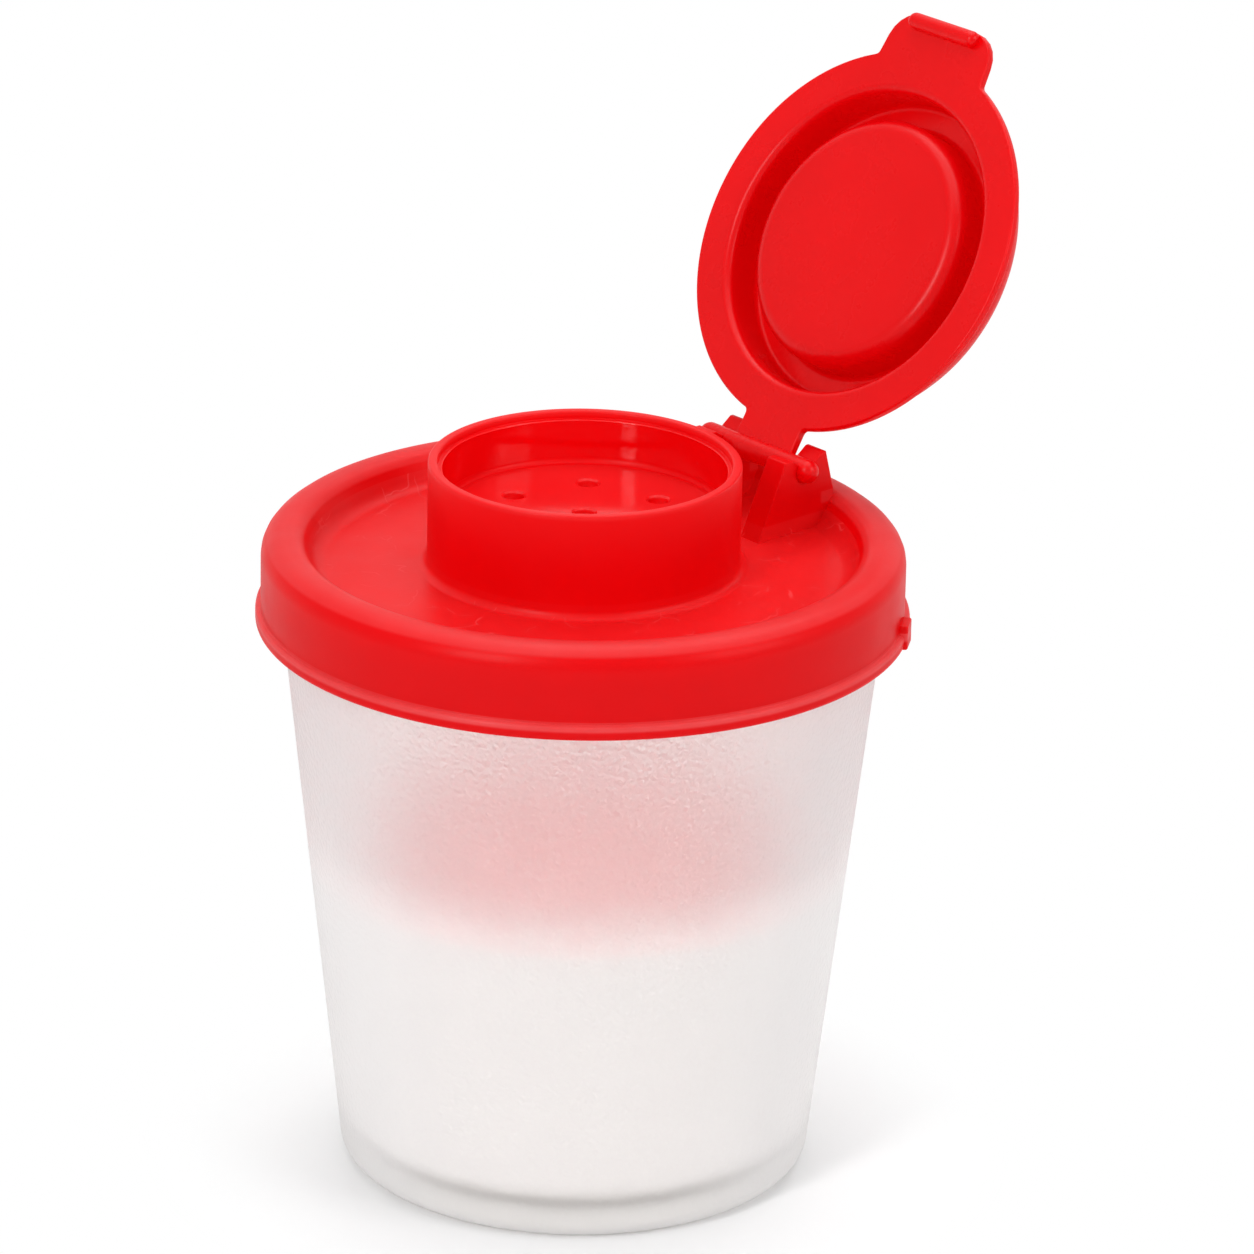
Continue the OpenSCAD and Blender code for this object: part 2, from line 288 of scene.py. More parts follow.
redSpec = {
    "colour": (238, 4, 14),       # sRGB
    "deeper": (232, 3, 11),
    "scratchAndSheen": (255, 120, 122),     # sRGB of scratches, and of the painted highlights and sheen
    "glow": (250, 20, 24),        # sRGB of light that comes through
    # each finish: share of the light that passes through, roughness, and gloss
    "finishes": {
        "redPlastic": (0.38, (0.32, 0.42), 0.18),
        "redUnderside": (0.95, (0.32, 0.42), 0.18),
        "redCapPlastic": (0.3, (0.24, 0.34), 0.24),
        "redPolished": (0.38, (0.08, 0.11), 0.5),
    },
    # places on the lid painted paler as painted highlights and sheen: inner and outer radius and the heights between
    # them in mm, and how pale
    "paintedSheen": {
        "panel": (13.3, 23.2, 53.1, 54.5, 0.09),
        "crest": (22.6, 26.7, 55.3, 56.2, 0.22),
        "beadEdge": (27.15, 28.0, 49.15, 49.7, 0.6),
        "collarRim": (11.8, 13.3, 62.05, 62.6, 0.12),
        "bowlFloor": (-1.0, 11.4, 57.7, 58.0, 0.09),
    },
    "feather": 0.3,               # mm over which a place of painted highlight and sheen fades in
    "scratches": (210.0, 0.3, 0.15),   # to the metre, how pale and how dull
    "scratchWidth": (0.006, 0.016),
    "scratchBend": (300.0, 0.004),     # bends to the metre and how far they push, in m
    "clouds": 90.0,               # patches of each kind to the metre
    "scratchPatches": 380.0,
    "sheenPatches": 120.0,
    "smudges": 260.0,
    "wave": (160.0, 0.00004),     # waves to the metre and their depth in m
    "grain": (4200.0, 0.000006),
}


def makeRed(name, spec):
    material = bpy.data.materials.new(name)
    through, (smooth, dull), gloss = spec["finishes"][name]
    finish = nodesOf(material)
    place = finish.objectPlace()
    height = finish.split(place).output(2)
    away = finish.fromAxis(place)
    pale = 0.0
    # painted highlights and sheen: the crest, bead edge, collar rim, panel and bowl floor are painted paler in the base
    # colour, and pale sums how much
    for inner, outer, low, high, amount in spec["paintedSheen"].values():
        across = finish.smoothStep(away, (inner - spec["feather"]) * mm, inner * mm) * (away < outer * mm)
        upward = finish.smoothStep(height, (low - spec["feather"]) * mm, low * mm) * (height < high * mm)
        pale = upward * across * amount + pale
    inner, outer, low, high = spec["paintedSheen"]["panel"][:4]
    onPanel = (away > inner * mm) * (away < outer * mm) * (height > low * mm) * (height < high * mm)
    cloud = finish.ramp(finish.noise(place, spec["clouds"], 3.0), ((0.35, 0.0), (0.65, 1.0)))
    tone = finish.blend(cloud, linear(*spec["colour"]), linear(*spec["deeper"]))
    count, paleness, dullness = spec["scratches"]
    hair = finish.add("ShaderNodeTexVoronoi", {"feature": "DISTANCE_TO_EDGE"}, {
        "Vector": finish.bent(place, *spec["scratchBend"]), "Scale": count})
    patch = finish.ramp(finish.noise(place, spec["scratchPatches"], 1.0), ((0.52, 0.0), (0.6, 1.0)))
    scratch = (1 - finish.smoothStep(hair, *spec["scratchWidth"])) * patch * onPanel
    # patches that vary how strong the painted sheen is
    sheenPatch = finish.ramp(finish.noise(place, spec["sheenPatches"], 4.0, 0.65), ((0.3, 0.6), (0.7, 1.0)))
    # scratches, and the painted highlights and sheen, lighten the base colour
    tone = finish.blend(scratch * paleness + sheenPatch * pale, tone, linear(*spec["scratchAndSheen"]))
    smudge = finish.ramp(finish.noise(place, spec["smudges"], 4.0, 0.6), ((0.3, 0.0), (0.75, 1.0)))
    rough = smooth + (dull - smooth) * smudge + scratch * dullness
    waves, waveDepth = spec["wave"]
    grains, grainDepth = spec["grain"]
    soft = finish.bump(finish.noise(place, waves, 1.0), waveDepth)
    normal = finish.bump(finish.noise(place, grains, 2.0), grainDepth, soft)
    body = finish.add("ShaderNodeBsdfPrincipled", {}, {
        "Base Color": tone, "Roughness": rough, "Specular IOR Level": gloss, "Normal": normal})
    glow = finish.add("ShaderNodeBsdfTranslucent", {}, {"Color": linear(*spec["glow"])})
    finish.add("ShaderNodeOutputMaterial", {}, {"Surface": finish.shaderMix(through, body, glow)})
    return material


milkySpec = {
    "colour": (1.0, 0.975, 0.967, 1.0),
    "footColour": (0.98, 0.945, 0.9, 1.0),
    "footTop": (0.0027, 0.0038),    # heights in m between which the thick foot's own tone fades out
    "footWave": (160.0, 0.001),     # waves to the metre of that edge, and their height in m
    "footHaze": 0.5,
    "clear": 0.95,                  # share of the light that goes in and out as through frosted glass
    "bending": 1.28,                # index of refraction of the hazy wall as a whole
    "outsideRoughness": 0.6,
    "insideRoughness": 0.3,
    "haze": 0.7,                    # milkiness of the wall seen at a slant
    "hazeSlant": (0.12, 0.62),      # facing between which the milkiness comes in
    "hazeColour": (0.89, 0.875, 0.87, 1.0),
    "hazeSolid": 0.8,               # share of the haze that light doesn't pass
    "wrinkle": 2200.0,              # wrinkles to the metre
    "fineGrain": 2600.0,
    "shares": (0.7, 0.6),           # of the wrinkles and of the fine grain
    "wrinkleDepth": 0.00018,        # m
    "calmHeights": (0.023, 0.033),  # heights in m below which the wrinkles show less, over the salt
    "calm": 0.4,
    "insideWave": (220.0, 0.00003),  # waves to the metre and their depth in m
    "dustColour": (0.985, 0.97, 0.962, 1.0),
    "dustHeights": (0.0258, 0.0332),  # heights in m between which the film of salt dust fades out
    "dustSpecks": (900.0, 0.004),   # to the metre, and how far they shift the film's edge, in m
    "dustSolid": 0.75,
}


def powder(finish, colour, solid):
    # a pale layer, partly solid and partly letting light through
    film = finish.add("ShaderNodeBsdfTranslucent", {}, {"Color": colour})
    plain = finish.add("ShaderNodeBsdfDiffuse", {}, {"Color": colour})
    return finish.shaderMix(solid, film, plain)


def frosted(finish, spec, colour, roughness, normal):
    return finish.add("ShaderNodeBsdfPrincipled", {}, {
        "Base Color": colour, "Roughness": roughness, "Normal": normal, "IOR": spec["bending"],
        "Transmission Weight": spec["clear"]})


def makeMilkyOutside(name, spec):
    material = bpy.data.materials.new(name)
    finish = nodesOf(material)
    place = finish.objectPlace()
    height = finish.split(place).output(2)
    waves, waveHeight = spec["footWave"]
    wavy = height + (finish.noise(place, waves, 2.0) - 0.5) * waveHeight
    above = finish.smoothStep(wavy, *spec["footTop"])
    cell = finish.add("ShaderNodeTexVoronoi", {"feature": "SMOOTH_F1"}, {
        "Vector": place, "Scale": spec["wrinkle"], "Smoothness": 0.6})
    soft = finish.noise(place, spec["fineGrain"], 2.0, 0.5, 0.6)
    wrinkled, grained = spec["shares"]
    relief = spec["calm"] + (1 - spec["calm"]) * finish.smoothStep(height, *spec["calmHeights"])
    normal = finish.bump((cell * wrinkled + soft * grained) * relief, spec["wrinkleDepth"])
    colour = finish.blend(above, spec["footColour"], spec["colour"])
    body = frosted(finish, spec, colour, spec["outsideRoughness"], normal)
    slant = finish.add("ShaderNodeLayerWeight", {}, {"Blend": 0.5}, out=1)
    along = finish.smoothStep(slant, *spec["hazeSlant"]) * spec["haze"]
    thick = spec["footHaze"] * (1 - above)
    milk = powder(finish, spec["hazeColour"], spec["hazeSolid"])
    hazy = finish.shaderMix(along + thick * (1 - along), body, milk)
    finish.add("ShaderNodeOutputMaterial", {}, {"Surface": hazy})
    return material


def makeMilkyInside(name, spec):
    material = bpy.data.materials.new(name)
    finish = nodesOf(material)
    place = finish.objectPlace()
    waves, depth = spec["insideWave"]
    normal = finish.bump(finish.noise(place, waves, 2.0), depth)
    body = frosted(finish, spec, spec["colour"], spec["insideRoughness"], normal)
    specks, shift = spec["dustSpecks"]
    level = finish.split(place).output(2) + (finish.noise(place, specks, 3.0, 0.7) - 0.5) * shift
    dusted = 1 - finish.smoothStep(level, *spec["dustHeights"])
    dust = powder(finish, spec["dustColour"], spec["dustSolid"])
    finish.add("ShaderNodeOutputMaterial", {}, {"Surface": finish.shaderMix(dusted, body, dust)})
    return material


looseSpec = {
    "light": (0.97, 0.965, 0.96, 1.0),
    "dark": (0.93, 0.925, 0.92, 1.0),
    "grains": 2600.0,               # to the metre
    "depth": 0.00003,
    "roughness": 0.6,
    "gloss": 0.4,
}


def makeSalt(name, spec):
    material = bpy.data.materials.new(name)
    finish = nodesOf(material)
    grains = finish.add("ShaderNodeTexVoronoi", {}, {"Vector": finish.objectPlace(), "Scale": spec["grains"]})
    body = finish.add("ShaderNodeBsdfPrincipled", {}, {
        "Base Color": finish.blend(grains, spec["light"], spec["dark"]), "Roughness": spec["roughness"],
        "Specular IOR Level": spec["gloss"], "Normal": finish.bump(grains, spec["depth"])})
    finish.add("ShaderNodeOutputMaterial", {}, {"Surface": body})
    return material


redPlastic, redUnderside, redCapPlastic, redPolished = [makeRed(name, redSpec) for name in redSpec["finishes"]]
milkyOutside = makeMilkyOutside("milkyOutside", milkySpec)
milkyInside = makeMilkyInside("milkyInside", milkySpec)
looseSalt = makeSalt("looseSalt", looseSpec)
print("materials made")


def newTree(name, inputs):
    # an empty geometry tree with named inputs, and a wire from each
    tree = bpy.data.node_groups.new(name, "GeometryNodeTree")
    graph = Graph(tree)
    for label, kind in inputs.items():
        tree.interface.new_socket(label, in_out="INPUT", socket_type="NodeSocket" + kind)
    tree.interface.new_socket("Geometry", in_out="OUTPUT", socket_type="NodeSocketGeometry")
    given = graph.add("NodeGroupInput")
    return graph, {label: given.output(label) for label in inputs}


def finishTree(graph, geometry, *materials):
    # every tree ends in plain geometry with its materials set
    last = graph.add("GeometryNodeRealizeInstances", {}, {"Geometry": geometry})
    for material, selection in materials:
        sockets = {"Geometry": last, "Material": material}
        if selection is not None:
            sockets["Selection"] = selection
        last = graph.add("GeometryNodeSetMaterial", {}, sockets)
    graph.add("NodeGroupOutput", {}, {"Geometry": last})
    return graph.tree


def attribute(graph, name):
    return graph.add("GeometryNodeInputNamedAttribute", {"data_type": "FLOAT"}, {"Name": name})


def makeTurnedTree():
    # rounds the corners of a path in the XZ plane and turns it about Z
    graph, given = newTree("turnedWall", {
        "Path": "Geometry", "Segments": "Int", "Arc Steps": "Int", "Outer Finish": "Material",
        "Inner Finish": "Material"})
    path = graph.add("GeometryNodeMeshToCurve", {}, {"Mesh": given["Path"]})
    path = graph.add("GeometryNodeFilletCurve", {"mode": "POLY"}, {
        "Curve": path, "Count": given["Arc Steps"], "Radius": attribute(graph, "rounding"), "Limit Radius": True})
    points = graph.add("GeometryNodeCurveToPoints", {"mode": "EVALUATED"}, {"Curve": path})
    count = graph.add("GeometryNodeAttributeDomainSize", {"component": "POINTCLOUD"}, {"Geometry": points})
    columns = given["Segments"] + 1
    grid = graph.add("GeometryNodeMeshGrid", {}, {
        "Size X": 1.0, "Size Y": 1.0, "Vertices X": count, "Vertices Y": columns})
    index = graph.add("GeometryNodeInputIndex")
    row = graph.add("ShaderNodeMath", {"operation": "FLOOR"}, {0: (index + 0.5) / columns})
    angle = (index - row * columns) * (2 * math.pi) / given["Segments"]
    place = graph.add("GeometryNodeInputPosition")
    corner = graph.add("GeometryNodeSampleIndex", {"data_type": "FLOAT_VECTOR"}, {
        "Geometry": points, "Value": place, "Index": row})
    radius = graph.split(corner)
    across = radius * graph.add("ShaderNodeMath", {"operation": "COSINE"}, {0: angle})
    along = radius * graph.add("ShaderNodeMath", {"operation": "SINE"}, {0: angle})
    turned = graph.add("ShaderNodeCombineXYZ", {}, {0: across, 1: along, 2: radius.output(2)})
    inner = graph.add("GeometryNodeSampleIndex", {"data_type": "FLOAT"}, {
        "Geometry": points, "Value": attribute(graph, "inner"), "Index": row})
    wall = graph.add("GeometryNodeStoreNamedAttribute", {"data_type": "FLOAT", "domain": "POINT"}, {
        "Geometry": grid, "Name": "innerFace", "Value": inner})
    wall = graph.add("GeometryNodeSetPosition", {}, {"Geometry": wall, "Position": turned})
    wall = graph.add("GeometryNodeMergeByDistance", {}, {"Geometry": wall, "Distance": weldWithin})
    isInner = attribute(graph, "innerFace") > 0.75   # only where all corners of a face are
    return finishTree(graph, wall, (given["Outer Finish"], None), (given["Inner Finish"], isInner))


turnedTree = makeTurnedTree()


def setInputs(modifier, values):
    # by identifier, because a modifier doesn't know its inputs' names
    for item in modifier.node_group.interface.items_tree:
        if item.in_out == "INPUT" and item.name in values:
            modifier[item.identifier] = values[item.name]


def makePlain(piece):
    # the evaluated mesh in place of the modifiers
    graph = bpy.context.evaluated_depsgraph_get()
    solid = piece.evaluated_get(graph)
    mesh = bpy.data.meshes.new_from_object(solid, preserve_all_data_layers=True, depsgraph=graph)
    mesh.name = piece.name
    piece.modifiers.clear()
    piece.data = mesh


def cleanMesh(mesh):
    bm = bmesh.new()
    bm.from_mesh(mesh)
    bmesh.ops.remove_doubles(bm, verts=bm.verts, dist=weldWithin)
    bmesh.ops.dissolve_degenerate(bm, edges=bm.edges, dist=weldWithin)
    bmesh.ops.recalc_face_normals(bm, faces=bm.faces)
    bm.to_mesh(mesh)
    bm.free()


def turn(name, corners, outer, inner=None, segments=144, arcSteps=6):
    # corners from the axis outwards and back: radius, height, rounding and 1 for an inner face
    mesh = bpy.data.meshes.new(name + "Path")
    places = [(corner[0] * mm, 0, corner[1] * mm) for corner in corners]
    mesh.from_pydata(places, [(i, i + 1) for i in range(len(corners) - 1)], [])
    rounding = mesh.attributes.new("rounding", "FLOAT", "POINT")
    rounding.data.foreach_set("value", [corner[2] * mm for corner in corners])
    side = mesh.attributes.new("inner", "FLOAT", "POINT")
    side.data.foreach_set("value", [float(corner[3]) if len(corner) > 3 else 0.0 for corner in corners])
    piece = bpy.data.objects.new(name, mesh)
    scene.collection.objects.link(piece)
    modifier = piece.modifiers.new("turned", "NODES")
    modifier.node_group = turnedTree
    setInputs(modifier, {
        "Segments": segments, "Arc Steps": arcSteps, "Outer Finish": outer, "Inner Finish": inner or outer})
    makePlain(piece)
    cleanMesh(piece.data)
    return piece


def roundCorners(outline, steps=5):
    # a closed outline of (x, y, rounding), its corners turned into arcs
    points = []
    for index, (x, y, radius) in enumerate(outline):
        at = Vector((x, y))
        if not radius:
            points.append(at)
            continue
        back = (Vector(outline[index - 1][:2]) - at).normalized()
        ahead = (Vector(outline[(index + 1) % len(outline)][:2]) - at).normalized()
        half = back.angle(ahead) / 2
        centre = at + (back + ahead).normalized() * radius / math.sin(half)
        first = at + back * radius / math.tan(half) - centre
        turnBy = first.angle_signed(at + ahead * radius / math.tan(half) - centre)
        for step in range(steps + 1):
            angle = -turnBy * step / steps
            points.append(centre + Matrix.Rotation(angle, 2) @ first)
    return points


def plate(name, outline, thick, eased, turnTo, material):
    # a flat outline pushed out along its own Z, its edges eased, and then put in place
    bm = bmesh.new()
    face = bm.faces.new([bm.verts.new((point.x, point.y, 0)) for point in roundCorners(outline)])
    pushed = bmesh.ops.extrude_face_region(bm, geom=[face])["geom"]
    lifted = [item for item in pushed if isinstance(item, bmesh.types.BMVert)]
    bmesh.ops.translate(bm, vec=(0, 0, thick), verts=lifted)
    bmesh.ops.recalc_face_normals(bm, faces=bm.faces)
    rims = [edge for edge in bm.edges if abs(edge.verts[0].co.z - edge.verts[1].co.z) < thick / 2]
    bmesh.ops.bevel(bm, geom=rims, offset=eased, segments=3, profile=0.5, affect="EDGES", clamp_overlap=True)
    bmesh.ops.scale(bm, vec=(mm, mm, mm), verts=bm.verts)
    mesh = bpy.data.meshes.new(name)
    bm.to_mesh(mesh)
    bm.free()
    mesh.transform(turnTo)
    mesh.materials.append(material)
    cleanMesh(mesh)
    piece = bpy.data.objects.new(name, mesh)
    scene.collection.objects.link(piece)
    return piece


def fuse(piece, others):
    # one moulding out of several closed shapes
    for other in others:
        modifier = piece.modifiers.new(other.name, "BOOLEAN")
        modifier.operation = "UNION"
        modifier.solver = "MANIFOLD"
        modifier.object = other
    makePlain(piece)
    for other in others:
        bpy.data.objects.remove(other)
    cleanMesh(piece.data)


shadeSpec = {
    "sharp": 38,    # degrees above which an edge stays sharp
    "weight": 50,
}


def shade(piece, spec):
    # smooth faces, with sharp edges and normals that follow the large faces
    mesh = piece.data
    bm = bmesh.new()
    bm.from_mesh(mesh)
    for face in bm.faces:
        face.smooth = True
    for edge in bm.edges:
        edge.smooth = len(edge.link_faces) == 2 and edge.calc_face_angle(0) < math.radians(spec["sharp"])
    bm.to_mesh(mesh)
    bm.free()
    modifier = piece.modifiers.new("evenNormals", "WEIGHTED_NORMAL")
    modifier.keep_sharp = True
    modifier.weight = spec["weight"]
    makePlain(piece)


def tidySlots(mesh):
    # drops empty and unused material slots
    used = sorted({face.material_index for face in mesh.polygons})
    kept = [mesh.materials[index] for index in used]
    order = {index: place for place, index in enumerate(used)}
    places = [order[face.material_index] for face in mesh.polygons]
    mesh.materials.clear()
    for material in kept:
        mesh.materials.append(material)
    mesh.polygons.foreach_set("material_index", places)


def settle(piece, node, body):
    shade(piece, shadeSpec)
    tidySlots(piece.data)
    for name in ("innerFace", "rounding", "inner"):
        if name in piece.data.attributes:
            piece.data.attributes.remove(piece.data.attributes[name])
    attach(piece, body)
    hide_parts(node)
    print(piece.name, len(piece.data.polygons), "faces")


cupSpec = {
    "foot": 19.85, "rim": 25.89, "height": 54.5, "wall": 1.2,
    "recess": 1.4, "ring": 3.0, "floor": 3.0,
    "footRound": 1.8, "floorRound": 2.0, "rimRound": 0.4, "ringFillet": 0.5, "ringRound": 0.2,
}


def cupRadius(height):
    return cupSpec["foot"] + (cupSpec["rim"] - cupSpec["foot"]) * height / cupSpec["height"]


def makeCup(spec):
    ring = spec["foot"] - spec["ring"]
    cup = turn("milkyCup", [
        (0, spec["recess"], 0),
        (ring, spec["recess"], spec["ringFillet"]),
        (ring, 0, spec["ringRound"]),
        (spec["foot"], 0, spec["footRound"]),
        (spec["rim"], spec["height"], spec["rimRound"]),
        (spec["rim"] - spec["wall"], spec["height"], spec["rimRound"], 1),
        (cupRadius(spec["floor"]) - spec["wall"], spec["floor"], spec["floorRound"], 1),
        (0, spec["floor"], 0, 1),
    ], milkyOutside, milkyInside, segments=180, arcSteps=8)
    settle(cup, "cup", "cup")


saltSpec = {
    "bottom": 3.05, "level": 27.0, "gap": 0.05, "floorRound": 2.0, "edgeRound": 0.4,
    # the heap from its edge to its middle: share of the radius, rise and rounding
    "heap": ((0.86, 0.1, 1.0), (0.7, 0.25, 2.0), (0.5, 0.4, 2.0), (0.3, 0.52, 2.0), (0.12, 0.58, 1.0), (0, 0.6, 0)),
    "uneven": 0.5,                # how much the top rises and falls
    "waves": 190.0,               # to the metre
    "calmEdge": (4.0, 0.6),       # distances from the wall between which the unevenness fades out
    "below": 0.6,                 # how far below the level the unevenness starts
    "bareEdge": 0.5,              # ring at the wall without grains
    "grain": 0.32,                # side of a grain
    "grainSizes": (0.5, 1.1),
    "spread": 3.2,                # grains to the square millimetre of the top
    "seed": 7,
}


def makeGrainTree(spec):
    # makes the salt's top uneven and strews cubes of salt over it
    graph, given = newTree("strewnSalt", {
        "Salt": "Geometry", "Level": "Float", "Edge Radius": "Float", "Uneven": "Float", "Grain": "Float",
        "Density": "Float", "Seed": "Int", "Finish": "Material"})
    place = graph.add("GeometryNodeInputPosition")
    away = graph.fromAxis(place)
    uneven, calm = [given["Edge Radius"] - distance * mm for distance in spec["calmEdge"]]
    inward = 1 - graph.smoothStep(away, uneven, calm)
    onTop = graph.split(place).output(2) > given["Level"] - spec["below"] * mm
    wave = graph.noise(place, spec["waves"], 3.0) - 0.5
    lift = graph.add("ShaderNodeCombineXYZ", {}, {2: wave * given["Uneven"] * inward * onTop})
    heap = graph.add("GeometryNodeSetPosition", {}, {"Geometry": given["Salt"], "Offset": lift})
    upward = graph.split(graph.add("GeometryNodeInputNormal")).output(2)
    selection = (upward > 0.5) * (away < given["Edge Radius"] - spec["bareEdge"] * mm)
    points = graph.add("GeometryNodeDistributePointsOnFaces", {"distribute_method": "RANDOM"}, {
        "Mesh": heap, "Selection": selection, "Density": given["Density"], "Seed": given["Seed"]})
    side = graph.add("ShaderNodeCombineXYZ", {}, {0: given["Grain"], 1: given["Grain"], 2: given["Grain"]})
    cube = graph.add("GeometryNodeMeshCube", {}, {"Size": side})
    fullTurn = 6.28
    small, large = spec["grainSizes"]
    turnBy = graph.add("FunctionNodeRandomValue", {"data_type": "FLOAT_VECTOR"}, {
        0: (0.0, 0.0, 0.0), 1: (fullTurn, fullTurn, fullTurn), "Seed": given["Seed"]})
    size = graph.add("FunctionNodeRandomValue", {"data_type": "FLOAT_VECTOR"}, {
        0: (small, small, small), 1: (large, large, large), "Seed": given["Seed"] + 1})
    grains = graph.add("GeometryNodeInstanceOnPoints", {}, {
        "Points": points, "Instance": cube, "Rotation": turnBy, "Scale": size})
    both = graph.add("GeometryNodeJoinGeometry", {}, {"Geometry": [heap, grains]})
    return finishTree(graph, both, (given["Finish"], None))


def makeSaltFill(spec):
    edge = cupRadius(spec["level"]) - cupSpec["wall"] - spec["gap"]
    salt = turn("saltHeap", [
        (0, spec["bottom"], 0),
        (cupRadius(spec["bottom"]) - cupSpec["wall"] - spec["gap"], spec["bottom"], spec["floorRound"]),
        (edge, spec["level"], spec["edgeRound"]),
        *[(edge * share, spec["level"] + rise, rounding) for share, rise, rounding in spec["heap"]],
    ], looseSalt, segments=120)
    modifier = salt.modifiers.new("grains", "NODES")
    modifier.node_group = makeGrainTree(spec)
    setInputs(modifier, {
        "Level": spec["level"] * mm, "Edge Radius": edge * mm, "Uneven": spec["uneven"] * mm,
        "Grain": spec["grain"] * mm, "Density": spec["spread"] / mm ** 2, "Seed": spec["seed"], "Finish": looseSalt})
    makePlain(salt)
    settle(salt, "salt_fill", "cup")


makeCup(cupSpec)
makeSaltFill(saltSpec)
print("cup and salt made")


lidSpec = {
    "outside": 27.0, "skirtInside": 26.1, "bead": 27.45, "beadLow": 48.2, "beadHeight": 1.25,
    "channel": 54.7, "crest": 55.8, "crestRound": 1.9,
    "shoulder": 23.7, "shoulderRound": 1.4, "panelEdge": 22.4, "panel": 53.2, "panelRound": 1.5,
    "collarFoot": 0.75,
    "under": 52.2, "sealLow": 50.6, "sealInside": 22.96, "sealOutside": 23.96, "sealTop": 24.41,
    "collar": 13.12, "collarTop": 62.3, "ledge": 12.3, "ledgeDrop": 0.65, "bowl": 11.9,
    "sifter": 57.8, "sifterWall": 1.0, "edgeRound": 0.4, "fineRound": 0.2, "fillet": 0.5,
    "hole": 0.92, "holeBevel": 0.16, "holeRing": 7.0, "holes": 6, "firstHole": 16,
    "holeSides": 48, "polishedFrom": 0.52, "slack": 0.1, "underDepth": 0.8, "underWithin": 25.5,
    "nubBearing": 38, "nubWidth": 2.4, "nubHeight": 2.1, "nubOut": 0.25, "nubRoot": 0.3, "nubRound": 0.25,
    "nubEased": 0.15,
}

hingeSpec = {
    "pinPlace": (19.8, 58.5),       # across and up
    "pin": 1.0, "seat": 1.08, "towerInside": 3.6, "towerWide": 2.25, "lean": 24.5,
    "lipWall": 1.25, "lipRise": 1.2, "lipFlat": 0.78, "mouthBack": 0.3,
    "postBack": 0.92, "postRise": 1.28, "postFlat": 0.35, "eased": 0.17,
    "buried": 0.6, "lipRound": 0.25, "lipBackRound": 0.2, "postRound": 0.1, "seatSteps": 20,
    "open": 121.6, "ballOut": 0.15, "armHalf": 3.4,
}


def makeHoleTree(spec):
    # cuts a bevelled hole in the middle and a ring of them about it, and gives the faces their finishes
    graph, given = newTree("sifterHoles", {
        "Lid": "Geometry", "Hole Radius": "Float", "Ring Radius": "Float", "Ring Count": "Int",
        "First Bearing": "Float", "Bevel": "Float", "Floor Height": "Float", "Floor Wall": "Float",
        "Finish": "Material", "Under Finish": "Material", "Under Height": "Float", "Under Radius": "Float",
        "Bowl Finish": "Material", "Bowl Radius": "Float"})
    ring = graph.add("GeometryNodeMeshCircle", {}, {"Vertices": given["Ring Count"], "Radius": given["Ring Radius"]})
    turnBy = graph.add("ShaderNodeCombineXYZ", {}, {2: given["First Bearing"]})
    ring = graph.add("GeometryNodeTransform", {}, {"Geometry": ring, "Rotation": turnBy})
    middle = graph.add("GeometryNodeMeshLine", {}, {"Count": 1})
    places = graph.add("GeometryNodeJoinGeometry", {}, {"Geometry": [ring, middle]})
    bore = graph.add("GeometryNodeMeshCylinder", {}, {
        "Vertices": spec["holeSides"], "Radius": given["Hole Radius"], "Depth": given["Floor Wall"] * 3})
    mouth = graph.add("GeometryNodeMeshCone", {}, {
        "Vertices": spec["holeSides"], "Radius Top": given["Hole Radius"] + given["Bevel"] * 2,
        "Radius Bottom": given["Hole Radius"], "Depth": given["Bevel"] * 2})
    cutters = []
    for shape, drop in ((bore, given["Floor Wall"] * -1.2), (mouth, given["Bevel"] * -1)):
        up = graph.add("ShaderNodeCombineXYZ", {}, {2: given["Floor Height"] + drop})
        shape = graph.add("GeometryNodeTransform", {}, {"Geometry": shape, "Translation": up})
        cut = graph.add("GeometryNodeInstanceOnPoints", {}, {"Points": places, "Instance": shape})
        cutters.append(graph.add("GeometryNodeRealizeInstances", {}, {"Geometry": cut}))
    lid = graph.add("GeometryNodeMeshBoolean", {"operation": "DIFFERENCE", "solver": "MANIFOLD"}, {
        "Mesh 1": given["Lid"], 1: cutters})
    facing = graph.split(graph.add("GeometryNodeInputNormal")).output(2)
    place = graph.add("GeometryNodeInputPosition")
    height = graph.split(place).output(2)
    away = graph.fromAxis(place)
    corner, slack = spec["polishedFrom"] * mm, spec["slack"] * mm
    under = (facing < -0.5) * (height > given["Under Height"]) * (away < given["Under Radius"])
    inCorner = (away > given["Bowl Radius"] - corner) * (height < given["Floor Height"] + corner)
    inBowl = (away < given["Bowl Radius"] + slack / 2) * (height > given["Floor Height"] - slack)
    return finishTree(graph, lid, (given["Finish"], None), (given["Under Finish"], under),
                      (given["Bowl Finish"], inBowl * (1 - inCorner)))


